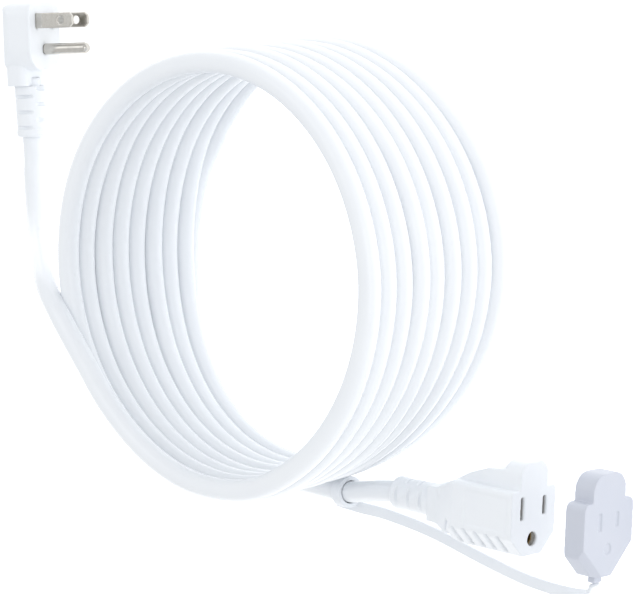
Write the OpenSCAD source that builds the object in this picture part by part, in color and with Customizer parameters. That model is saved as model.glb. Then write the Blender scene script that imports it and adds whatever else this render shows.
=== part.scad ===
// Extension cord lying on a floor: a round coil of cord with a right-angle plug at one end
// and a connector with a tethered cap at the other. Millimetres, +Z up, origin on the floor.

/* [Cord] */

// outer diameter of the jacket
cord_d = 8.3; // [6:0.1:12]
// radius of the coil to the middle of the cord
coil_r = 80; // [60:1:140]
// turns that are stacked where the coil is highest
coil_turns = 9; // [4:1:14]

/* [Plug] */

// width of the head across the blades
head_w = 25; // [22:0.5:32]
// head above the blades
head_above = 7.8; // [6:0.2:12]
// head below the middle of the ground pin
head_below = 8.7; // [6:0.1:12]
// whole thickness of the head behind its face
head_t = 15; // [12:0.5:20]
// width of the stem between the head and the strain relief
stem_w = 19; // [14:0.5:24]
// how far the head's face stands in front of the stem
stem_step = 5.3; // [3:0.1:9]
// depth of the middle of the cord behind the face
cord_depth = 8.2; // [7:0.1:11]
// length of the plug's strain relief
relief_l = 21.5; // [12:0.5:30]
// radius of the strain relief next to the stem
relief_r = 6.8; // [5:0.1:9]
// radius of the strain relief at its free end
relief_end_r = 6.2; // [4.8:0.1:8]

/* [Blades and pin] */

// distance between the two blades
blade_gap = 12.7; // [12.7]
// width of a blade
blade_w = 6.35; // [6.35]
// thickness of a blade
blade_t = 1.5; // [1.5]
// length of a blade in front of the face
blade_l = 17.5; // [15.9:0.1:18.3]
// hole in a blade
blade_hole_d = 3.5; // [3:0.1:4]
// distance of that hole from the face
blade_hole_at = 11.8; // [11:0.1:13]
// diameter of the ground pin
pin_d = 4.75; // [4.75]
// length of the ground pin in front of the face
pin_l = 21.4; // [20:0.1:22]
// distance of the ground pin below the blades
pin_drop = 11.9; // [11.9]

/* [Connector] */

// half width of the connector's face
face_half_w = 12.8; // [12:0.1:16]
// face above the slots
face_above = 7; // [6:0.2:10]
// face below the slots
face_below = 18; // [16:0.5:22]
// height of the lug above the slots
lug_above = 17; // [12:0.5:20]
// half width of the lug
lug_half_w = 8; // [5:0.5:10]
// length of the connector's body
body_l = 46; // [36:1:60]
// radius of the body's neck
neck_r = 6.8; // [6:0.1:9]
// length of the connector's strain relief
tail_l = 20; // [10:1:24]
// radius of that strain relief
tail_r = 6.1; // [5:0.1:8]
// width of both slots
slot_w = 2; // [1.8:0.1:2.4]
// length of the line slot
line_slot_l = 7; // [6.8:0.1:7.4]
// length of the neutral slot
neutral_slot_l = 8.6; // [8.2:0.1:9]
// diameter of the ground hole
ground_hole_d = 5.4; // [5.2:0.1:6]

/* [Cap and strap] */

// wall of the cap
cap_wall = 1.1; // [1:0.1:2]
// depth of the cap's hollow
cap_hollow = 6.6; // [5:0.1:9]
// thickness of the cap's closed face
cap_face_t = 2; // [1.2:0.1:3]
// room between the cap's wall and the connector
cap_play = 0.3; // [0.2:0.05:0.5]
// distance from the connector's face to the cap's closed face, as it lies
cap_away = 34.5; // [12:0.5:60]
// width of the strap
strap_w = 4.5; // [3:0.1:8]
// thickness of the strap
strap_t = 1.4; // [1:0.1:2]
// width of the loop round the cord
loop_w = 5; // [3:0.5:8]

/* [Hidden] */

$fn = 48;
cord_r = cord_d / 2;
half_gap = blade_gap / 2;

// The model's origin is under the middle of the plug and the connector, seen from the middle of the coil.
origin_x = -1.25;
origin_y = 12.15;

white = [0.94, 0.95, 0.97];
pale = [0.86, 0.87, 0.88];
nickel = [0.75, 0.74, 0.72];
brass = [0.78, 0.62, 0.32];
black = [0.06, 0.06, 0.06];
green = [0.05, 0.42, 0.18];

// ---- shared functions ----

function unit(v) = v / norm(v);

// a smooth curve through b and c, with a and d as its neighbours
function between(a, b, c, d, t) =
    0.5 * (2 * b + (c - a) * t + (2 * a - 5 * b + 4 * c - d) * t * t
        + (3 * b - a - 3 * c + d) * t * t * t);

// a curve through all of a route's points but the first and last, which only steer its ends
function smooth(route, steps) = [
    for (i = [1 : len(route) - 3])
        for (s = [0 : steps - 1])
            between(route[i - 1], route[i], route[i + 1], route[i + 2], s / steps),
    route[len(route) - 2]
];

function heading(line, i) = unit(line[min(i + 1, len(line) - 1)] - line[max(i - 1, 0)]);

function ring_of(line, i, outline) =
    let (t = heading(line, i), side = unit(cross(t, [0, 0, 1])), up = cross(side, t))
    [for (q = outline) line[i] + q[0] * side + q[1] * up];

function turned(q, a) = [q[0] * cos(a) - q[1] * sin(a), q[0] * sin(a) + q[1] * cos(a)];

// a closed tube with the given outline, drawn along a line of points; its last part may twist
module swept(line, outline, twist = 0, twist_from = 0) {
    n = len(outline);
    last = len(line) - 1;
    points = [
        for (i = [0 : last])
            let (part = max(0, i / last - twist_from) / (1 - twist_from))
            each ring_of(line, i, [for (q = outline) turned(q, twist * part)])
    ];
    start_cap = [for (k = [1 : n - 2]) [0, k + 1, k]];
    end_cap = [for (k = [1 : n - 2]) [last * n, last * n + k, last * n + k + 1]];
    walls = [
        for (i = [0 : last - 1])
            for (k = [0 : n - 1])
                let (a = i * n + k, b = i * n + (k + 1) % n)
                each [[a, b + n, a + n], [a, b, b + n]]
    ];
    polyhedron(points = points, faces = concat(start_cap, end_cap, walls));
}

function round_outline(r, sides) = [for (k = [0 : sides - 1]) r * [cos(360 * k / sides), sin(360 * k / sides)]];

// a convex outline with its corners rounded, drawn from the centres of the corners, anticlockwise
module rounded(centres, r) {
    n = len(centres);
    polygon([
        for (i = [0 : n - 1])
            let (a = centres[i], b = centres[(i + 1) % n], e = unit(b - a), out = [e[1], -e[0]])
            each [a + r * out, b + r * out]
    ]);
    for (c = centres) translate(c) circle(r);
}

// a rod between two points
module rod(a, b, r) {
    v = b - a;
    translate(a)
        rotate([0, acos(v[2] / norm(v)), atan2(v[1], v[0])])
            cylinder(h = norm(v), r = r);
}

// extrudes an outline drawn as [z, y] along X, centred
module along_x(width) {
    rotate([0, -90, 0]) linear_extrude(width, center = true) children();
}

// extrudes an outline drawn as [x, z] along Y, from y = top downwards
module down_y(top, length) {
    translate([0, top, 0]) rotate([90, 0, 0]) linear_extrude(length) children();
}

// ---- where things lie, from the middle of the coil ----

// The plug lies on its side, nose down: its face's lower edge and the lower blade's tip both touch the floor.
blade_out = half_gap + blade_t / 2;
plug_tilt = atan((head_w / 2 - blade_out) / blade_l);
plug_at = [99.5, 152, head_w / 2 * cos(plug_tilt)];

connector_yaw = 5;
cap_half_w = face_half_w + cap_play + cap_wall;
connector_at = [-84.8, -108.6, cap_half_w];
axis_y = -5.5;

module shifted() {
    translate([-origin_x, -origin_y, 0]) children();
}

module at_plug() {
    shifted() translate(plug_at)
        rotate([90 + plug_tilt, 0, 0]) rotate([0, 0, -90]) children();
}

module at_connector() {
    shifted() translate(connector_at)
        rotate([0, 0, -connector_yaw]) rotate([90, 0, 0]) rotate([0, 0, -90]) children();
}

// the same two placements for a point, as [x, y, z] in the plug's or the connector's own frame
function plug_point(p) = plug_at + [
    p[1],
    p[0] * sin(plug_tilt) - p[2] * cos(plug_tilt),
    -p[0] * cos(plug_tilt) - p[2] * sin(plug_tilt)
];

function connector_point(p) = connector_at + [
    p[1] * cos(connector_yaw) - p[2] * sin(connector_yaw),
    -p[1] * sin(connector_yaw) - p[2] * cos(connector_yaw),
    -p[0]
];

// ---- the cord ----

// Angles are counted along the cord from the plug's end. The lowest turn lies flat on the floor from
// floor_angle to leave_angle; in the rest of each round the cord climbs to the turn above.
floor_angle = 360 * coil_turns - 90;
flat_part = 140;
leave_angle = floor_angle + flat_part;
coil_h = cord_d * coil_turns + 1.8;
coil_middle = [1.5, -2.5];

// how far the lowest turn lies outside the coil's radius, having slipped out of round
function slipped(angle) =
    0.8 + 2.7 * cos(angle) - 3.7 * sin(angle) + 1.4 * cos(2 * angle) - 2.4 * sin(2 * angle)
        + 0.2 * cos(3 * angle) + 2.5 * sin(3 * angle);

// After leave_angle the cord lies on the floor round the foot of the coil, against the turn above.
function foot_r(angle) =
    let (step = cord_d * (floor_angle + 360 - angle) / (360 - flat_part))
    coil_r + slipped(angle) + sqrt(max(0, cord_d * cord_d - step * step));

foot_z = cord_r + 0.05;

function on_coil(angle, r, z) = [r * cos(angle), r * sin(angle), z];

head_bottom = -(pin_drop + head_below);
stem_below = 6.7;
relief_top_y = head_bottom - stem_below;
jacket_in_plug = relief_top_y + 3.5;
relief_end_y = relief_top_y - relief_l;
jacket_in_body = -body_l + 4;

plug_route = concat(
    [
        for (y = [jacket_in_plug + 8, jacket_in_plug, relief_top_y - 3, relief_top_y - relief_l / 2, relief_end_y])
            plug_point([0, y, -cord_depth])
    ],
    [
        [42.5, 158.9, 14.8], [34.8, 157, 16.9], [26.6, 152.4, 20.8], [17.1, 143.3, 28.3], [9.5, 131, 38.5], [4.5, 117, 50],
        [-0.3, 103, 61.5], [-6, 91, 70.3], [-13.8, 80.5, 75], [-24.2, 71.5, 76], [-36, 63.2, 75.2],
        [-49, 53.8, 74.4], [-62.5, 39, 74.1], [-72.5, 22, 74], [-78, 3, 73.8]
    ]
);

foot_turn = [for (angle = [leave_angle : 14 : leave_angle + 112]) on_coil(angle, foot_r(angle), foot_z)];
loop_r = 6.2;
loop_at = [-88.2, -8.8, 6.6];
connector_route = concat(
    foot_turn,
    [[-87.4, 8, 4.4], loop_at, [-86.8, -20.8, 9.8], [-85.2, -32.2, 13.2]],
    [
        for (z = [-body_l - tail_l, -body_l - tail_l / 2, -body_l, jacket_in_body, jacket_in_body + 4])
            connector_point([0, axis_y, z])
    ]
);

cord_sides = 12;

module cord_coil() {
    edge_r = cord_r - 1;
    color(white) shifted() translate(coil_middle) rotate_extrude() translate([coil_r, 0])
        rounded([[-1, edge_r], [1, edge_r], [1, coil_h - edge_r], [-1, coil_h - edge_r]], edge_r);
}

module cord_plug_lead() {
    color(white) shifted() swept(smooth(plug_route, 5), round_outline(cord_r, cord_sides));
}

module cord_connector_lead() {
    color(white) shifted() swept(smooth(connector_route, 3), round_outline(cord_r, cord_sides));
}

// ---- the plug, in its own frame: pins along +Z, ground pin below the blades ----

top_r = 5.5;
bottom_r = 9;
back_r = 4.5;
stem_r = 3;
insert_w = 19;
insert_front = -1.6;
insert_back = -6.4;
wire_r = 1.4;
wire_spread = 2;
shank_r = 2;
pin_start = 0.2;
crimp_r = 2;
crimp_l = 6;
ground_crimp_l = 4.2;

module head_outline() {
    top_x = head_w / 2 - top_r;
    low_x = head_w / 2 - bottom_r;
    top_y = head_above - top_r;
    low_y = head_bottom + bottom_r;
    polygon([
        [head_w / 2, low_y], [head_w / 2, top_y], [top_x, head_above], [-top_x, head_above],
        [-head_w / 2, top_y], [-head_w / 2, low_y], [-low_x, head_bottom], [low_x, head_bottom]
    ]);
    for (side = [-1, 1]) {
        translate([side * top_x, top_y]) circle(top_r);
        translate([side * low_x, low_y]) circle(bottom_r);
    }
}

// a band from z = -head_t to 0 with its back edges rounded, for cutting the head in both directions
function band(low, high, r) = concat(
    [[low, 0], [low, -head_t + r]],
    [for (a = [195 : 15 : 255]) [low + r + r * cos(a), -head_t + r + r * sin(a)]],
    [[low + r, -head_t], [high - r, -head_t]],
    [for (a = [285 : 15 : 345]) [high - r + r * cos(a), -head_t + r + r * sin(a)]],
    [[high, -head_t + r], [high, 0]]
);

module plug_insert_shape() {
    translate([-insert_w / 2, -pin_drop - 4, insert_back])
        cube([insert_w, pin_drop + 4 + 4.5, insert_front - insert_back]);
}

module line_blade_shape() {
    blade_shape(1);
}

module neutral_blade_shape() {
    blade_shape(-1);
}

// one blade with its tail and the barrel that holds the wire
module blade_shape(side) {
    tip = 1.4;
    translate([side * half_gap, 0, 0]) {
        difference() {
            along_x(blade_t) polygon([
                [-cord_depth, -2.2], [0, -blade_w / 2], [blade_l - tip, -blade_w / 2],
                [blade_l, -blade_w / 2 + tip], [blade_l, blade_w / 2 - tip],
                [blade_l - tip, blade_w / 2], [0, blade_w / 2], [-cord_depth, 2.2]
            ]);
            translate([0, 0, blade_hole_at]) rotate([0, 90, 0])
                cylinder(h = 2 * blade_t, r = blade_hole_d / 2, center = true);
        }
        rod([0, 0, -cord_depth], [0, -crimp_l, -cord_depth], crimp_r);
    }
}

module ground_pin_shape() {
    r = pin_d / 2;
    translate([0, -pin_drop, 0]) {
        translate([0, 0, -cord_depth]) cylinder(h = cord_depth + 1, r = shank_r);
        translate([0, 0, pin_start]) cylinder(h = pin_l - r - pin_start, r = r);
        translate([0, 0, pin_l - r]) sphere(r);
        rod([0, 0, -cord_depth], [0, -ground_crimp_l, -cord_depth], crimp_r);
    }
}

// the three wires come out of the jacket as a triangle
function deeper(x) = x == 0 ? -1.9 : 0.9;

module plug_wire_shape(x, y) {
    rod([x, y, -cord_depth], concat([sign(x) * wire_spread, jacket_in_plug], deeper(x) - cord_depth), wire_r);
}

module plug_body() {
    color(white) at_plug() difference() {
        union() {
            intersection() {
                translate([0, 0, -head_t]) linear_extrude(head_t) head_outline();
                down_y(head_above + 1, head_above - head_bottom + 2)
                    polygon(band(-head_w / 2, head_w / 2, back_r));
                rotate([0, 0, 90]) down_y(head_w, 2 * head_w)
                    polygon(band(head_bottom - 8, head_above, back_r));
            }
            down_y(head_bottom + bottom_r, bottom_r + stem_below)
                rounded([
                    [-stem_w / 2 + stem_r, -head_t + stem_r], [stem_w / 2 - stem_r, -head_t + stem_r],
                    [stem_w / 2 - stem_r, -stem_step - stem_r], [-stem_w / 2 + stem_r, -stem_step - stem_r]
                ], stem_r);
        }
        plug_insert_shape();
        line_blade_shape();
        neutral_blade_shape();
        ground_pin_shape();
        plug_wire_shape(half_gap, -crimp_l);
        plug_wire_shape(-half_gap, -crimp_l);
        plug_wire_shape(0, -pin_drop - ground_crimp_l);
        rod([0, relief_top_y - 1, -cord_depth], [0, jacket_in_plug, -cord_depth], cord_r);
    }
}

// the staggered slots that let a strain relief bend: pairs at the sides, then pairs above and below
module bend_slots(from, pitch, count, across, core) {
    for (i = [0 : count - 1], side = [-1, 1]) {
        translate([side * (core + 5), 0, from + pitch * (i + 0.5)])
            cube([10, 2 * across, 1.4], center = true);
        translate([0, side * (core + 5), from + pitch * i])
            cube([2 * across, 10, 1.4], center = true);
    }
}

// a strain relief with its big end at z = 0, running up to its free end
module relief_shape(length, big_r, small_r, core) {
    collar = 3.2;
    difference() {
        rotate_extrude() polygon([
            [cord_r, 0], [big_r, 0], [small_r, length - collar], [small_r + 0.2, length - collar],
            [small_r + 0.2, length - 0.9], [small_r - 0.7, length], [cord_r, length]
        ]);
        bend_slots(1.1, (length - 1.9) / 3, 3, 4.2, core);
    }
}

module plug_strain_relief() {
    color(white) at_plug() translate([0, relief_top_y, -cord_depth]) rotate([90, 0, 0])
        relief_shape(relief_l, relief_r, relief_end_r, 4.9);
}

module plug_insert() {
    color(pale) at_plug() difference() {
        plug_insert_shape();
        line_blade_shape();
        neutral_blade_shape();
        ground_pin_shape();
        plug_wire_shape(half_gap, -crimp_l);
        plug_wire_shape(-half_gap, -crimp_l);
    }
}

module line_blade() {
    color(nickel) at_plug() line_blade_shape();
}

module neutral_blade() {
    color(nickel) at_plug() neutral_blade_shape();
}

module ground_pin() {
    color(nickel) at_plug() ground_pin_shape();
}

module plug_line_wire() {
    color(black) at_plug() plug_wire_shape(half_gap, -crimp_l);
}

module plug_neutral_wire() {
    color(white) at_plug() plug_wire_shape(-half_gap, -crimp_l);
}

module plug_ground_wire() {
    color(green) at_plug() plug_wire_shape(0, -pin_drop - ground_crimp_l);
}

// ---- the connector, in its own frame: its face at z = 0 looking along +Z ----

corner_r = 1.5;
face_foot_w = 4.8;
skin = 1.4;
socket_back = -24;
flare_l = 19;
flare_steps = 8;
contact_t = 0.6;
contact_front = -3;
contact_back = -19;
barrel_back = -28;
socket_r = pin_d / 2 + 0.08;

function face_corners() = [
    [face_foot_w, -face_below + corner_r], [face_half_w - corner_r, -10],
    [face_half_w - corner_r, face_above - corner_r], [-face_half_w + corner_r, face_above - corner_r],
    [-face_half_w + corner_r, -10], [-face_foot_w, -face_below + corner_r]
];

// the face's outline, grown by the given amount
module face_outline(grow) {
    rounded(face_corners(), corner_r + grow);
}

lug_r = 5;

module lug_outline(grow) {
    rounded([
        [-lug_half_w + lug_r, 0], [lug_half_w - lug_r, 0],
        [lug_half_w - lug_r, lug_above - lug_r], [-lug_half_w + lug_r, lug_above - lug_r]
    ], lug_r + grow);
}

// how far the body has widened, from 0 at the neck to 1 at the head, at step i
function widened(i) = let (t = i / flare_steps) t * t * (3 - 2 * t);

// one edge of the body's profile as [z, distance], from the neck to the face
function flare_edge(neck, head) = concat(
    [[-body_l, neck]],
    [for (i = [0 : flare_steps])
        [-body_l + 3 + flare_l * i / flare_steps, neck + (head - neck) * widened(i)]],
    [[1, head]]
);

function reversed(list) = [for (i = [len(list) - 1 : -1 : 0]) list[i]];

module body_shape() {
    intersection() {
        translate([0, 0, -body_l]) linear_extrude(body_l) face_outline(0);
        along_x(3 * face_half_w) polygon(concat(
            flare_edge(axis_y + neck_r, face_above + 1),
            reversed(flare_edge(axis_y - neck_r, -face_below - 1))
        ));
        rotate([90, 0, 0]) rotate([0, 0, 90]) linear_extrude(4 * face_below, center = true)
            polygon(concat(
                flare_edge(neck_r, face_half_w + 1),
                reversed(flare_edge(-neck_r, -face_half_w - 1))
            ));
    }
    intersection() {
        translate([0, 0, -body_l]) linear_extrude(body_l) lug_outline(0);
        along_x(2 * face_half_w) polygon([
            [-body_l + 6, -2], [-body_l + 6, axis_y + neck_r + 0.6], [-38, 3], [-31, 6.4],
            [-24, 10.2], [-16, 13], [-8, 13.8], [-8, lug_above + 1], [0, lug_above + 1], [0, -2]
        ]);
    }
}

// slanted grip grooves across one lower corner of the body
module grip_grooves(side) {
    groove_pitch = 5.4;
    first_groove = -7.5;
    slant = 28;
    for (i = [0 : 5])
        translate([side * 10.4, -14.6, first_groove - groove_pitch * i])
            rotate([0, 0, side * 46]) rotate([slant, 0, 0])
                cube([9, 9, 2], center = true);
}

module slot_cut(x, length, from) {
    translate([x, 0, from / 2 + 0.5])
        cube([slot_w, length, 1 - from], center = true);
}

module socket_cuts(from) {
    slot_cut(half_gap, line_slot_l, from);
    slot_cut(-half_gap, neutral_slot_l, from);
    translate([0, -pin_drop, from]) cylinder(h = 1 - from, r = ground_hole_d / 2);
}

module insert_shape() {
    depth = -skin - socket_back;
    translate([-10.4, -9, socket_back]) cube([20.8, 14, depth]);
    translate([-4.5, -16, socket_back]) cube([9, 8, depth]);
}

// a folded strip that grips a blade from both sides, with the barrel that holds the wire
module blade_contact_shape(x) {
    gap = blade_t + 0.1;
    outer = gap + 2 * contact_t;
    translate([x, 0, 0]) {
        difference() {
            translate([-outer / 2, -3, contact_back])
                cube([outer, 6, contact_front - contact_back]);
            translate([-gap / 2, -4, contact_back + contact_t])
                cube([gap, 8, contact_front - contact_back]);
        }
        translate([0, 0, barrel_back]) cylinder(h = contact_back - barrel_back, r = crimp_r - 0.3);
    }
}

module ground_contact_shape() {
    tube_back = contact_back + 1.5;
    translate([0, -pin_drop, 0]) {
        difference() {
            translate([0, 0, contact_back])
                cylinder(h = contact_front - contact_back, r = socket_r + contact_t);
            translate([0, 0, tube_back]) cylinder(h = 30, r = socket_r);
            translate([-0.5, -6, tube_back + 2]) cube([1, 6, 30]);
        }
        translate([0, 0, barrel_back]) cylinder(h = contact_back - barrel_back, r = crimp_r - 0.3);
    }
}

module connector_wire_shape(x, y) {
    rod([x, y, barrel_back], [sign(x) * wire_spread, axis_y + deeper(x), jacket_in_body], wire_r);
}

module connector_body() {
    panel_in = 0.3;
    color(white) at_connector() difference() {
        body_shape();
        for (side = [-1, 1])
            translate([side * (face_half_w + 1 - panel_in), -2, -12.5])
                cube([2, 13.4, 21], center = true);
        grip_grooves(-1);
        grip_grooves(1);
        insert_shape();
        socket_cuts(-skin - 0.5);
        for (p = [[half_gap, 0], [-half_gap, 0], [0, -pin_drop]])
            translate([p[0], p[1], barrel_back])
                cylinder(h = 1 + socket_back - barrel_back, r = crimp_r - 0.3);
        connector_wire_shape(half_gap, 0);
        connector_wire_shape(-half_gap, 0);
        connector_wire_shape(0, -pin_drop);
        translate([0, axis_y, -body_l - 1]) cylinder(h = jacket_in_body + body_l + 1, r = cord_r);
    }
}

module connector_strain_relief() {
    color(white) at_connector() translate([0, axis_y, -body_l]) rotate([180, 0, 0])
        relief_shape(tail_l, neck_r - 0.4, tail_r, 4.9);
}

module connector_insert() {
    color(pale) at_connector() difference() {
        insert_shape();
        socket_cuts(contact_front);
        for (side = [-1, 1])
            translate([side * half_gap, 0, 0])
                translate([-1.5, -3.1, contact_back]) cube([3, 6.2, 30]);
        translate([0, -pin_drop, contact_back]) cylinder(h = 30, r = socket_r + contact_t + 0.1);
        for (p = [[half_gap, 0], [-half_gap, 0], [0, -pin_drop]])
            translate([p[0], p[1], barrel_back])
                cylinder(h = 1 + contact_back - barrel_back, r = crimp_r - 0.3);
    }
}

module line_contact() {
    color(brass) at_connector() blade_contact_shape(half_gap);
}

module neutral_contact() {
    color(brass) at_connector() blade_contact_shape(-half_gap);
}

module ground_contact() {
    color(brass) at_connector() ground_contact_shape();
}

module connector_line_wire() {
    color(black) at_connector() connector_wire_shape(half_gap, 0);
}

module connector_neutral_wire() {
    color(white) at_connector() connector_wire_shape(-half_gap, 0);
}

module connector_ground_wire() {
    color(green) at_connector() connector_wire_shape(0, -pin_drop);
}

// ---- the cap and its strap ----

cap_mouth = cap_away - cap_hollow - cap_face_t;
tab_l = 3;
strap_gap = 0.9;
tab_y = -face_below - cap_play - cap_wall - tab_l;

// takes a slope off the closed face along one lower corner of the cap
module cap_slope(side) {
    slope = 2.4;
    edge_x = (face_foot_w + face_half_w - corner_r) / 2;
    edge_y = (-face_below + corner_r - 10) / 2;
    translate([side * edge_x, edge_y, cap_away])
        rotate([0, 0, -side * 135]) translate([0, corner_r + cap_play + cap_wall, 0])
            rotate([45, 0, 0]) cube([30, slope * sqrt(2), slope * sqrt(2)], center = true);
}

module cap_body() {
    mark_depth = 0.5;
    mark_size = 0.78;
    color(white) at_connector() {
        difference() {
            translate([0, 0, cap_mouth]) linear_extrude(cap_hollow + cap_face_t) {
                face_outline(cap_play + cap_wall);
                lug_outline(cap_play + cap_wall);
            }
            translate([0, 0, cap_mouth - 1]) linear_extrude(cap_hollow + 1) {
                face_outline(cap_play);
                lug_outline(cap_play);
            }
            translate([half_gap * mark_size, 1, cap_away])
                cube([slot_w, line_slot_l * mark_size, 2 * mark_depth], center = true);
            translate([-half_gap * mark_size, 1, cap_away])
                cube([slot_w, neutral_slot_l * mark_size, 2 * mark_depth], center = true);
            translate([0, -pin_drop * mark_size, cap_away - mark_depth])
                cylinder(h = 1, r = ground_hole_d / 2 * mark_size);
            cap_slope(-1);
            cap_slope(1);
        }
        translate([-strap_w / 2, tab_y, cap_mouth + 2]) cube([strap_w, tab_l + cap_wall / 2, 3]);
    }
}

strap_end = connector_point([0, tab_y - strap_gap, cap_mouth + 3.5]);
strap_route = [
    [-90, 6, 5], [-92.6, -2, 4.6], [-94.6, -12, 3.2], [-96.6, -25, 1.4], [-101.5, -47, 0.8],
    [-109, -71, 0.8], [-114.4, -90, 0.9], [-116.6, -103, 1.8], [-117.1, -114.5, 4.6],
    [-116.3, -124.5, 8.8], [-114.4, -131.5, 12.2], strap_end, strap_end + [6, -4, 1]
];

module cap_strap() {
    t = strap_t / 2;
    w = strap_w / 2;
    color(white) shifted()
        swept(smooth(strap_route, 5), [[w, -t], [w, t], [-w, t], [-w, -t]], 90, 0.6);
}

module strap_loop() {
    along = connector_route[len(foot_turn) + 2] - connector_route[len(foot_turn)];
    color(white) shifted() translate(loop_at)
        rotate([0, 90 - asin(along[2] / norm(along)), atan2(along[1], along[0])])
            difference() {
                cylinder(h = loop_w, r = loop_r, center = true);
                cylinder(h = loop_w + 1, r = cord_r + 0.35, center = true);
            }
}

// ---- what is built ----

cord_coil();
cord_plug_lead();
cord_connector_lead();
plug_body();
plug_strain_relief();
plug_insert();
line_blade();
neutral_blade();
ground_pin();
plug_line_wire();
plug_neutral_wire();
plug_ground_wire();
connector_body();
connector_strain_relief();
connector_insert();
line_contact();
neutral_contact();
ground_contact();
connector_line_wire();
connector_neutral_wire();
connector_ground_wire();
strap_loop();
cap_strap();
cap_body();
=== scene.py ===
"""An extension cord lying on a floor: a round coil of white cord, a right-angle plug at one end,
and a grounded connector with a tethered cap at the other."""

import math

import bmesh
import bpy
from mathutils import Matrix, Vector


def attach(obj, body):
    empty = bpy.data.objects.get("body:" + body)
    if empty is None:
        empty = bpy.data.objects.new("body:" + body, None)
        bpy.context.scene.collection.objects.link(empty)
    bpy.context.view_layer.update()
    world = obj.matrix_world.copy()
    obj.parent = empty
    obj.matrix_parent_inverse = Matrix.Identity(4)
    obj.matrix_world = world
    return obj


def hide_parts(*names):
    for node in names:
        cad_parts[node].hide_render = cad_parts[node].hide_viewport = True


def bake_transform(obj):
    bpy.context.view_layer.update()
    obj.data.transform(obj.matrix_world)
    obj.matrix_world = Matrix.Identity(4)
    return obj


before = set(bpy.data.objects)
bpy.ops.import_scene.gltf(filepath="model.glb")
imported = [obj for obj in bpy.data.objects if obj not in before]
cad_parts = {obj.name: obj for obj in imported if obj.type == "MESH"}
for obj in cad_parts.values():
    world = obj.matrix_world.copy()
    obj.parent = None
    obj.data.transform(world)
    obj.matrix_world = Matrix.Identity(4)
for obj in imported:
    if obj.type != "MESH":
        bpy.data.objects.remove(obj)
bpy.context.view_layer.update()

MM = 0.001

# ---- sizes and places, in millimetres, as in part.scad ----

CORD_D = 8.3
CORD_R = CORD_D / 2
COIL_R = 80
COIL_TURNS = 9
ORIGIN = (-1.25, 12.15, 0)

HEAD_W = 25
HEAD_BOTTOM = -20.6
CORD_DEPTH = 8.2
RELIEF_L = 21.5
RELIEF_TOP = HEAD_BOTTOM - 6.7
BLADE_OUT = 12.7 / 2 + 1.5 / 2
BLADE_L = 17.5
PLUG_TILT = math.atan((HEAD_W / 2 - BLADE_OUT) / BLADE_L)
PLUG_AT = (99.5, 152, HEAD_W / 2 * math.cos(PLUG_TILT))

CONNECTOR_YAW = math.radians(5)
CONNECTOR_AT = (-84.8, -108.6, 14.2)
AXIS_Y = -5.5
BODY_L = 46
TAIL_L = 20
CAP_MOUTH = 25.9
TAB_Y = -22.4

STRAP_W = 4.5
STRAP_T = 1.4
LOOP_AT = (-88.2, -8.8, 6.6)

# Angles are counted along the cord from the plug's end. The lowest turn lies flat on the floor from
# FLOOR_ANGLE to LEAVE_ANGLE; in the rest of each round the cord climbs to the turn above.
FLOOR_ANGLE = 360 * COIL_TURNS - 90
FLAT_PART = 140
LEAVE_ANGLE = FLOOR_ANGLE + FLAT_PART
FIRST_ANGLE = 195
TOP_Z = CORD_R + CORD_D * (COIL_TURNS - 1)
FOOT_Z = CORD_R + 0.05
TURN_STEP = 15
FOOT_SPAN = 112
FOOT_STEP = 14


def in_frame(p):
    """A point in millimetres from the middle of the coil, in the frame's metres."""
    return (Vector(p) - Vector(ORIGIN)) * MM


def plug_point(p):
    """A point of the plug's own frame, in millimetres from the middle of the coil."""
    x, y, z = p
    sin, cos = math.sin(PLUG_TILT), math.cos(PLUG_TILT)
    return Vector(PLUG_AT) + Vector((y, x * sin - z * cos, -x * cos - z * sin))


def connector_point(p):
    """A point of the connector's own frame, in millimetres from the middle of the coil."""
    x, y, z = p
    sin, cos = math.sin(CONNECTOR_YAW), math.cos(CONNECTOR_YAW)
    return Vector(CONNECTOR_AT) + Vector((y * cos - z * sin, -y * sin - z * cos, -x))


# ---- camera ----

CAMERA_AT = in_frame((86.58, -787.44, 845.07))
CAMERA_RIGHT = Vector((-0.03056, -0.72926, -0.68356))
CAMERA_UP = Vector((0.99587, 0.03632, -0.08326))
CAMERA_LENS = 166.3

camera_data = bpy.data.cameras.new("camera")
camera_data.lens = CAMERA_LENS
camera_data.sensor_width = 36
camera = bpy.data.objects.new("camera", camera_data)
bpy.context.scene.collection.objects.link(camera)
camera_back = CAMERA_RIGHT.cross(CAMERA_UP)
turn = Matrix((CAMERA_RIGHT, CAMERA_UP, camera_back)).transposed().to_4x4()
camera.matrix_world = Matrix.Translation(CAMERA_AT) @ turn
bpy.context.scene.camera = camera


# ---- the cord's route ----

def helix_z(angle):
    """Height of the middle of the cord in the stacked turns."""
    rounds, rest = divmod(LEAVE_ANGLE - angle, 360)
    climbed = max(0, rest - FLAT_PART) / (360 - FLAT_PART)
    return CORD_R + CORD_D * (rounds + climbed)


def waves(angle, start, *pairs):
    """A number that changes round the coil: a mean, then a cosine and a sine for each wave."""
    total = start
    for i, (cosine, sine) in enumerate(pairs):
        a = math.radians(angle * (i + 1))
        total += cosine * math.cos(a) + sine * math.sin(a)
    return total


def slipped(angle, z):
    """How far a turn lies outside the coil's radius. The lower it is, the more it has slipped."""
    depth = min(1, max(0, (TOP_Z - z) / (TOP_Z - CORD_R)))
    at_top = waves(angle, 0.6, (0.4, -1.5), (0.1, 0.3), (0, -0.3))
    lower = waves(angle, 0.2, (2.3, -2.2), (1.3, -2.7), (0.2, 2.8))
    return at_top + depth * lower


def foot_r(angle):
    """Radius of the last turn, which lies round the coil's foot against the turn above."""
    step = CORD_D * (FLOOR_ANGLE + 360 - angle) / (360 - FLAT_PART)
    return COIL_R + slipped(angle, CORD_R) + math.sqrt(max(0, CORD_D ** 2 - step ** 2))


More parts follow.
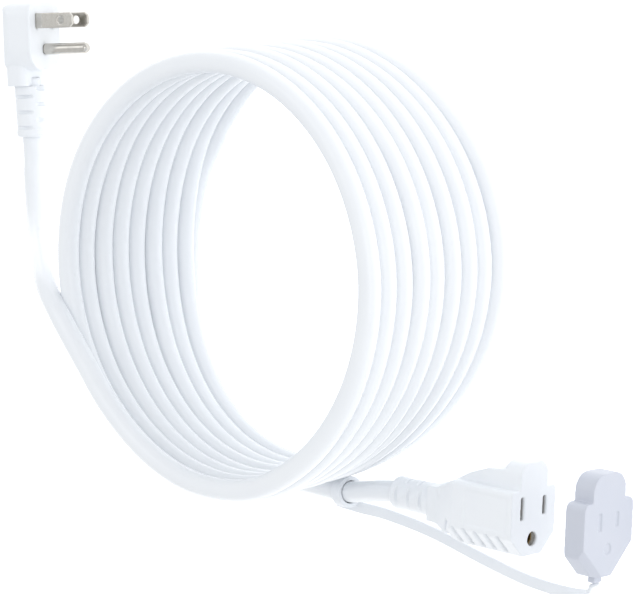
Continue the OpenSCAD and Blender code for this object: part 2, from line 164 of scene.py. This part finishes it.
def on_coil(angle, r, z):
    a = math.radians(angle)
    return Vector((r * math.cos(a), r * math.sin(a), z))


def smooth(route, steps):
    """A smooth curve through a route's points. The first and last only steer its ends."""
    route = [Vector(p) for p in route]
    line = []
    for a, b, c, d in zip(route, route[1:], route[2:], route[3:]):
        for s in range(steps):
            t = s / steps
            line.append(0.5 * (
                2 * b + (c - a) * t + (2 * a - 5 * b + 4 * c - d) * t ** 2
                + (3 * b - a - 3 * c + d) * t ** 3
            ))
    line.append(route[-2])
    return line


# from the plug's strain relief up onto the coil and round the far side of its top turn
PLUG_LEAD = [
    (42.5, 158.9, 14.8), (34.8, 157, 16.9), (26.6, 152.4, 20.8), (17.1, 143.3, 28.3),
    (9.5, 131, 38.5), (4.5, 117, 50), (-0.3, 103, 61.5), (-6, 91, 70.3), (-13.8, 80.5, 75),
    (-24.2, 71.5, 76), (-36, 63.2, 75.2), (-49, 53.8, 74.4), (-62.5, 39, 74.1),
    (-72.5, 22, 74), (-78, 3, 73.8)
]

# from the foot of the coil through the strap's collar to the connector's strain relief
CONNECTOR_LEAD = [(-87.4, 8, 4.4), LOOP_AT, (-86.8, -20.8, 9.8), (-85.2, -32.2, 13.2)]


def sway(angle):
    """A little more unevenness, so that no two turns lie quite alike."""
    a = math.radians(angle)
    return 0.3 * math.sin(1.37 * a + 0.6) + 0.2 * math.sin(2.61 * a + 2.1)


def cord_route():
    jacket_in_plug = RELIEF_TOP + 3.5
    along_plug = (
        jacket_in_plug + 8, jacket_in_plug, RELIEF_TOP - 3,
        RELIEF_TOP - RELIEF_L / 2, RELIEF_TOP - RELIEF_L,
    )
    points = [plug_point((0, y, -CORD_DEPTH)) for y in along_plug]
    points += PLUG_LEAD
    angle = FIRST_ANGLE
    while angle < LEAVE_ANGLE:
        z = helix_z(angle)
        points.append(on_coil(angle, COIL_R + slipped(angle, z) + sway(angle), z))
        angle += TURN_STEP
    for angle in range(LEAVE_ANGLE, LEAVE_ANGLE + FOOT_SPAN + 1, FOOT_STEP):
        points.append(on_coil(angle, foot_r(angle), FOOT_Z))
    points += CONNECTOR_LEAD
    along_connector = (-BODY_L - TAIL_L, -BODY_L - TAIL_L / 2, -BODY_L, -BODY_L + 4, -BODY_L + 8)
    points += [connector_point((0, AXIS_Y, z)) for z in along_connector]
    return points


# ---- mesh helpers ----

def add_object(name, mesh):
    obj = bpy.data.objects.new(name, mesh)
    bpy.context.scene.collection.objects.link(obj)
    return obj


def shade_smooth(obj):
    for face in obj.data.polygons:
        face.use_smooth = True


def sweep(name, line, outline, twist=0, twist_from=0):
    """A closed tube with the given outline along a line, all in metres. Its last part may twist."""
    count = len(outline)
    last = len(line) - 1
    mesh = bmesh.new()
    rings = []
    for i, point in enumerate(line):
        ahead = line[min(i + 1, last)] - line[max(i - 1, 0)]
        side = ahead.cross(Vector((0, 0, 1))).normalized()
        over = side.cross(ahead.normalized())
        turn = twist * max(0, i / last - twist_from) / (1 - twist_from)
        across = side * math.cos(turn) + over * math.sin(turn)
        away = over * math.cos(turn) - side * math.sin(turn)
        rings.append([mesh.verts.new(point + across * x + away * y) for x, y in outline])
    for low, high in zip(rings, rings[1:]):
        for k in range(count):
            n = (k + 1) % count
            mesh.faces.new((low[k], low[n], high[n], high[k]))
    mesh.faces.new(rings[0][::-1])
    mesh.faces.new(rings[-1])
    bmesh.ops.recalc_face_normals(mesh, faces=mesh.faces)
    data = bpy.data.meshes.new(name)
    mesh.to_mesh(data)
    mesh.free()
    obj = add_object(name, data)
    shade_smooth(obj)
    return obj


def circle_outline(r, sides):
    return [
        (r * math.cos(2 * math.pi * k / sides), r * math.sin(2 * math.pi * k / sides))
        for k in range(sides)
    ]


def rounded_box_outline(width, height, r, steps=4):
    """A rectangle with round corners, anticlockwise."""
    corners = [(1, 1, 0), (-1, 1, 90), (-1, -1, 180), (1, -1, 270)]
    outline = []
    for sx, sy, start in corners:
        for s in range(steps + 1):
            a = math.radians(start + 90 * s / steps)
            outline.append((
                sx * (width / 2 - r) + r * math.cos(a),
                sy * (height / 2 - r) + r * math.sin(a),
            ))
    return outline


def apply_modifiers(obj):
    bpy.context.view_layer.update()
    depsgraph = bpy.context.evaluated_depsgraph_get()
    data = bpy.data.meshes.new_from_object(obj.evaluated_get(depsgraph))
    obj.modifiers.clear()
    obj.data = data
    shade_smooth(obj)


def softened(node, name, voxel, passes):
    """A copy of a CAD node with its edges softened, as they come out of a mould."""
    obj = add_object(name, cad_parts[node].data.copy())
    remesh = obj.modifiers.new("remesh", "REMESH")
    remesh.mode = "VOXEL"
    remesh.voxel_size = voxel * MM
    soften = obj.modifiers.new("soften", "SMOOTH")
    soften.factor = 0.5
    soften.iterations = passes
    apply_modifiers(obj)
    obj.data.materials.clear()
    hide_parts(node)
    return obj


# ---- materials ----

NOISE_LOW = 0.3
NOISE_HIGH = 0.7
VINYL_IOR = 1.5
VINYL_BUMP = 0.35
METAL_BUMP = 0.2
METAL_RELIEF = 0.02
ROLLED_STRETCH = 0.06
MARK_SHADE = 0.88


def new_material(name):
    material = bpy.data.materials.new(name)
    material.use_nodes = True
    nodes = material.node_tree.nodes
    nodes.clear()
    output = nodes.new("ShaderNodeOutputMaterial")
    shader = nodes.new("ShaderNodeBsdfPrincipled")
    material.node_tree.links.new(shader.outputs[0], output.inputs[0])
    return material, nodes, material.node_tree.links, shader


def noise(nodes, links, coordinates, scale, detail=3, roughness=0.5):
    texture = nodes.new("ShaderNodeTexNoise")
    texture.inputs["Scale"].default_value = scale
    texture.inputs["Detail"].default_value = detail
    texture.inputs["Roughness"].default_value = roughness
    links.new(coordinates, texture.inputs["Vector"])
    return texture.outputs["Fac"]


def ramp(nodes, links, value, low, high):
    """A number that runs from low to high as a noise runs over its usual range."""
    spread = nodes.new("ShaderNodeMapRange")
    spread.inputs["From Min"].default_value = NOISE_LOW
    spread.inputs["From Max"].default_value = NOISE_HIGH
    spread.inputs["To Min"].default_value = low
    spread.inputs["To Max"].default_value = high
    links.new(value, spread.inputs["Value"])
    return spread.outputs["Result"]


def blend_colours(nodes, links, factor, a, b):
    mix = nodes.new("ShaderNodeMix")
    mix.data_type = "RGBA"
    mix.inputs["A"].default_value = (*a, 1)
    mix.inputs["B"].default_value = (*b, 1)
    links.new(factor, mix.inputs["Factor"])
    return mix.outputs["Result"]


def vinyl(name, colour, shade, rough, grain, relief):
    """Moulded or extruded soft plastic: slight clouding, a fine skin, and gloss that varies."""
    material, nodes, links, shader = new_material(name)
    where = nodes.new("ShaderNodeTexCoord").outputs["Object"]
    clouds = noise(nodes, links, where, 60, 4)
    links.new(blend_colours(nodes, links, ramp(nodes, links, clouds, 0, 1), colour, shade),
              shader.inputs["Base Color"])
    handled = noise(nodes, links, where, 170, 5, 0.6)
    links.new(ramp(nodes, links, handled, rough - 0.02, rough + 0.03), shader.inputs["Roughness"])
    skin = noise(nodes, links, where, grain, 3, 0.6)
    bump = nodes.new("ShaderNodeBump")
    bump.inputs["Strength"].default_value = VINYL_BUMP
    bump.inputs["Distance"].default_value = relief * MM
    links.new(skin, bump.inputs["Height"])
    links.new(bump.outputs["Normal"], shader.inputs["Normal"])
    shader.inputs["IOR"].default_value = VINYL_IOR
    return material


def plated(name, colour, rough):
    """Rolled and plated metal: fine lines along the strip and light handling marks."""
    material, nodes, links, shader = new_material(name)
    where = nodes.new("ShaderNodeTexCoord").outputs["Object"]
    stretch = nodes.new("ShaderNodeMapping")
    stretch.inputs["Scale"].default_value = (1, ROLLED_STRETCH, 1)
    links.new(where, stretch.inputs["Vector"])
    lines = noise(nodes, links, stretch.outputs["Vector"], 5200, 2)
    marks = noise(nodes, links, where, 420, 4)
    marked = tuple(MARK_SHADE * c for c in colour)
    links.new(blend_colours(nodes, links, ramp(nodes, links, marks, 0, 1), colour, marked),
              shader.inputs["Base Color"])
    links.new(ramp(nodes, links, marks, rough - 0.04, rough + 0.1), shader.inputs["Roughness"])
    bump = nodes.new("ShaderNodeBump")
    bump.inputs["Strength"].default_value = METAL_BUMP
    bump.inputs["Distance"].default_value = METAL_RELIEF * MM
    links.new(lines, bump.inputs["Height"])
    links.new(bump.outputs["Normal"], shader.inputs["Normal"])
    shader.inputs["Metallic"].default_value = 1
    return material


WHITE = (0.875, 0.9, 0.93)
WHITE_SHADE = (0.86, 0.885, 0.92)

cord_vinyl = vinyl("cord_vinyl", WHITE, WHITE_SHADE, 0.24, 1500, 0.003)
body_vinyl = vinyl("body_vinyl", WHITE, WHITE_SHADE, 0.36, 2600, 0.015)
cap_vinyl = vinyl("cap_vinyl", (0.6, 0.625, 0.7), (0.58, 0.61, 0.69), 0.4, 2400, 0.02)
strap_vinyl = vinyl("strap_vinyl", (0.85, 0.875, 0.91), (0.83, 0.86, 0.9), 0.4, 2400, 0.02)
block_plastic = vinyl("block_plastic", (0.6, 0.61, 0.62), (0.55, 0.56, 0.57), 0.5, 1800, 0.05)
black_plastic = vinyl("black_plastic", (0.02, 0.02, 0.02), (0.03, 0.03, 0.03), 0.4, 1500, 0.03)
white_plastic = vinyl("white_plastic", (0.8, 0.8, 0.8), (0.75, 0.75, 0.75), 0.4, 1500, 0.03)
green_plastic = vinyl("green_plastic", (0.02, 0.3, 0.1), (0.02, 0.26, 0.08), 0.4, 1500, 0.03)
nickel = plated("nickel", (0.6, 0.58, 0.54), 0.14)
contact_brass = plated("contact_brass", (0.75, 0.55, 0.26), 0.3)


def finish_as(obj, material):
    obj.data.materials.clear()
    obj.data.materials.append(material)


# ---- the cord ----

CORD_STEPS = 4
CORD_SIDES = 32
cord_line = [in_frame(p) for p in smooth(cord_route(), CORD_STEPS)]
cord = sweep("cord", cord_line, circle_outline(CORD_R * MM, CORD_SIDES))
finish_as(cord, cord_vinyl)
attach(cord, "root")
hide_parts("cord_coil", "cord_plug_lead", "cord_connector_lead")

# ---- plug ----

plug_body = softened("plug_body", "plug_shell", 0.35, 6)
finish_as(plug_body, body_vinyl)
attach(plug_body, "root")

plug_relief = softened("plug_strain_relief", "plug_relief", 0.28, 3)
finish_as(plug_relief, body_vinyl)
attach(plug_relief, "root")

for node in ("line_blade", "neutral_blade", "ground_pin"):
    piece = softened(node, node + "_plated", 0.16, 3)
    finish_as(piece, nickel)
    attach(piece, "root")

# ---- connector ----

connector_shell = softened("connector_body", "connector_shell", 0.35, 4)
finish_as(connector_shell, body_vinyl)
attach(connector_shell, "root")

connector_relief = softened("connector_strain_relief", "connector_relief", 0.28, 3)
finish_as(connector_relief, body_vinyl)
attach(connector_relief, "root")

# ---- collar, strap and cap ----

collar = softened("strap_loop", "strap_collar", 0.2, 4)
finish_as(collar, strap_vinyl)
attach(collar, "root")

STRAP_STEPS = 8
STRAP_EDGE_R = 0.5
STRAP_TWIST = math.radians(90)
TWIST_FROM = 0.6
strap_end = connector_point((0, TAB_Y - 0.9, CAP_MOUTH + 3.5))
strap_route = [
    (-90, 6, 5), (-92.6, -2, 4.6), (-94.6, -12, 3.2), (-96.6, -25, 1.4), (-101.5, -47, 0.8),
    (-109, -71, 0.8), (-114.4, -90, 0.9), (-116.6, -103, 1.8), (-117.1, -114.5, 4.6),
    (-116.3, -124.5, 8.8), (-114.4, -131.5, 12.2), strap_end, strap_end + Vector((6, -4, 1))
]
strap_line = [in_frame(p) for p in smooth(strap_route, STRAP_STEPS)]
strap = sweep(
    "cap_strap_band", strap_line,
    rounded_box_outline(STRAP_W * MM, STRAP_T * MM, STRAP_EDGE_R * MM),
    twist=STRAP_TWIST, twist_from=TWIST_FROM,
)
finish_as(strap, strap_vinyl)
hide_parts("cap_strap")
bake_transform(strap)

cap = softened("cap_body", "cap_shell", 0.28, 3)
finish_as(cap, cap_vinyl)
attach(cap, "cap")

# ---- pieces inside the plug and the connector ----

INNER = {
    "plug_insert": (block_plastic, "inner_block"),
    "connector_insert": (block_plastic, "inner_block"),
    "plug_line_wire": (black_plastic, "black_insulation"),
    "plug_neutral_wire": (white_plastic, "white_insulation"),
    "plug_ground_wire": (green_plastic, "green_insulation"),
    "connector_line_wire": (black_plastic, "black_insulation"),
    "connector_neutral_wire": (white_plastic, "white_insulation"),
    "connector_ground_wire": (green_plastic, "green_insulation"),
    "line_contact": (contact_brass, "contact_brass"),
    "neutral_contact": (contact_brass, "contact_brass"),
    "ground_contact": (contact_brass, "contact_brass"),
}
for node, (material, slot) in INNER.items():
    finish_as(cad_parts[node], material)

# ---- floor, light and background ----

FLOOR_SIZE = 8
FLOOR_WHITE = (0.96, 0.96, 0.96, 1)
FLOOR_ROUGH = 0.9
FLOOR_GLOW = 0.5
SKY_COLOUR = (0.98, 0.99, 1, 1)
SKY_STRENGTH = 0.86
KEY_AT = (0.1, -1.3, 1.15)
KEY_AIM = (0, 0, 0.04)
KEY_SIZE = (1.0, 0.8)
KEY_POWER = 2.5
FILL_AT = (0.7, 0.3, 1.5)
FILL_AIM = (0, 0, 0)
FILL_SIZE = (0.9, 0.9)
FILL_POWER = 2

floor_mesh = bpy.data.meshes.new("floor")
half = FLOOR_SIZE / 2
floor_corners = [(-half, -half, 0), (half, -half, 0), (half, half, 0), (-half, half, 0)]
floor_mesh.from_pydata(floor_corners, [], [(0, 1, 2, 3)])
floor = add_object("floor", floor_mesh)
floor_paint, _, _, shader = new_material("floor_white")
shader.inputs["Base Color"].default_value = FLOOR_WHITE
shader.inputs["Roughness"].default_value = FLOOR_ROUGH
shader.inputs["Emission Color"].default_value = (1, 1, 1, 1)
shader.inputs["Emission Strength"].default_value = FLOOR_GLOW
floor_mesh.materials.append(floor_paint)

world = bpy.data.worlds.new("studio")
bpy.context.scene.world = world
world.use_nodes = True
sky = world.node_tree.nodes["Background"]
sky.inputs["Color"].default_value = SKY_COLOUR
sky.inputs["Strength"].default_value = SKY_STRENGTH


def softbox(name, place, aim, size, power):
    light = bpy.data.lights.new(name, "AREA")
    light.shape = "RECTANGLE"
    light.size, light.size_y = size
    light.energy = power
    obj = bpy.data.objects.new(name, light)
    bpy.context.scene.collection.objects.link(obj)
    obj.location = place
    obj.rotation_euler = (Vector(aim) - Vector(place)).to_track_quat("-Z", "Y").to_euler()


softbox("key", KEY_AT, KEY_AIM, KEY_SIZE, KEY_POWER)
softbox("fill", FILL_AT, FILL_AIM, FILL_SIZE, FILL_POWER)

bpy.context.scene.view_settings.view_transform = "Standard"
bpy.context.scene.view_settings.look = "None"
